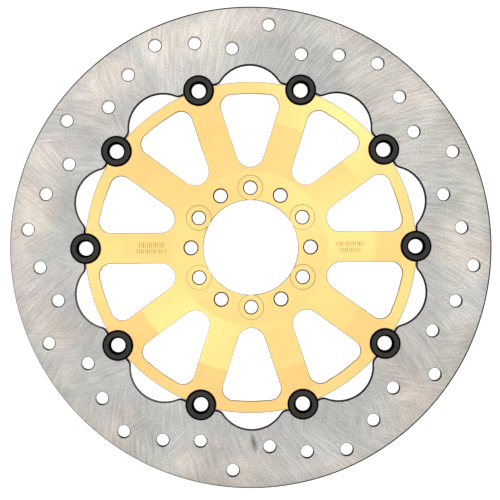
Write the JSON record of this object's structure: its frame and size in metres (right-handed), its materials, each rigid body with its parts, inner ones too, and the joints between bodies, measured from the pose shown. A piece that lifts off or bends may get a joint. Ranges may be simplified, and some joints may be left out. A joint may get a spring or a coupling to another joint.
{
  "type": "motorcycle brake disc rotor",
  "caption": "Floating front brake disc: drilled steel friction band with scalloped inner edge, held by drive pins to a dished, spoked, gold anodised carrier.",
  "frame": {"origin": "centre of the face that seats on the wheel hub, on the wheel's axis", "axes": "+Z along the wheel's axis, out of the disc's outer side; +X through the first drive pin"},
  "size_m": [0.32, 0.32, 0.0116],
  "materials": {
    "ground_steel": "ground",
    "gold_anodised": "satin gold anodised",
    "pin_black": "satin black anodised",
    "spring_washer_steel": "bright spring steel",
    "washer_steel": "bright zinc plated",
    "circlip_steel": "phosphated black"
  },
  "bodies": {
    "carrier": {"carrier": "gold_anodised"},
    "band": {"brake_band": "ground_steel"},
    "pin_01": {"drive_pin_01": "pin_black", "wave_washer_01": "spring_washer_steel", "flat_washer_01": "washer_steel", "circlip_01": "circlip_steel"},
    "pin_02": {"drive_pin_02": "pin_black", "wave_washer_02": "spring_washer_steel", "flat_washer_02": "washer_steel", "circlip_02": "circlip_steel"},
    "pin_03": {"drive_pin_03": "pin_black", "wave_washer_03": "spring_washer_steel", "flat_washer_03": "washer_steel", "circlip_03": "circlip_steel"},
    "pin_04": {"drive_pin_04": "pin_black", "wave_washer_04": "spring_washer_steel", "flat_washer_04": "washer_steel", "circlip_04": "circlip_steel"},
    "pin_05": {"drive_pin_05": "pin_black", "wave_washer_05": "spring_washer_steel", "flat_washer_05": "washer_steel", "circlip_05": "circlip_steel"},
    "pin_06": {"drive_pin_06": "pin_black", "wave_washer_06": "spring_washer_steel", "flat_washer_06": "washer_steel", "circlip_06": "circlip_steel"},
    "pin_07": {"drive_pin_07": "pin_black", "wave_washer_07": "spring_washer_steel", "flat_washer_07": "washer_steel", "circlip_07": "circlip_steel"},
    "pin_08": {"drive_pin_08": "pin_black", "wave_washer_08": "spring_washer_steel", "flat_washer_08": "washer_steel", "circlip_08": "circlip_steel"},
    "pin_09": {"drive_pin_09": "pin_black", "wave_washer_09": "spring_washer_steel", "flat_washer_09": "washer_steel", "circlip_09": "circlip_steel"},
    "pin_10": {"drive_pin_10": "pin_black", "wave_washer_10": "spring_washer_steel", "flat_washer_10": "washer_steel", "circlip_10": "circlip_steel"}
  },
  "joints": [
    {"name": "band_float", "type": "slide", "parent": "carrier", "child": "band", "axis": [0, 0, 1], "range_m": [-0.0004, 0], "stiffness_N_per_m": 200000, "springref_m": 0.0004, "deforming": ["wave_washer_01", "wave_washer_02", "wave_washer_03", "wave_washer_04", "wave_washer_05", "wave_washer_06", "wave_washer_07", "wave_washer_08", "wave_washer_09", "wave_washer_10"]},
    {"name": "pin_01_turn", "type": "hinge", "parent": "carrier", "child": "pin_01", "pos_m": [0.1096, 0, 0.006], "axis": [0, 0, 1], "continuous": true},
    {"name": "pin_02_turn", "type": "hinge", "parent": "carrier", "child": "pin_02", "pos_m": [0.08867, 0.06442, 0.006], "axis": [0, 0, 1], "continuous": true},
    {"name": "pin_03_turn", "type": "hinge", "parent": "carrier", "child": "pin_03", "pos_m": [0.03387, 0.10424, 0.006], "axis": [0, 0, 1], "continuous": true},
    {"name": "pin_04_turn", "type": "hinge", "parent": "carrier", "child": "pin_04", "pos_m": [-0.03387, 0.10424, 0.006], "axis": [0, 0, 1], "continuous": true},
    {"name": "pin_05_turn", "type": "hinge", "parent": "carrier", "child": "pin_05", "pos_m": [-0.08867, 0.06442, 0.006], "axis": [0, 0, 1], "continuous": true},
    {"name": "pin_06_turn", "type": "hinge", "parent": "carrier", "child": "pin_06", "pos_m": [-0.1096, 0, 0.006], "axis": [0, 0, 1], "continuous": true},
    {"name": "pin_07_turn", "type": "hinge", "parent": "carrier", "child": "pin_07", "pos_m": [-0.08867, -0.06442, 0.006], "axis": [0, 0, 1], "continuous": true},
    {"name": "pin_08_turn", "type": "hinge", "parent": "carrier", "child": "pin_08", "pos_m": [-0.03387, -0.10424, 0.006], "axis": [0, 0, 1], "continuous": true},
    {"name": "pin_09_turn", "type": "hinge", "parent": "carrier", "child": "pin_09", "pos_m": [0.03387, -0.10424, 0.006], "axis": [0, 0, 1], "continuous": true},
    {"name": "pin_10_turn", "type": "hinge", "parent": "carrier", "child": "pin_10", "pos_m": [0.08867, -0.06442, 0.006], "axis": [0, 0, 1], "continuous": true}
  ]
}
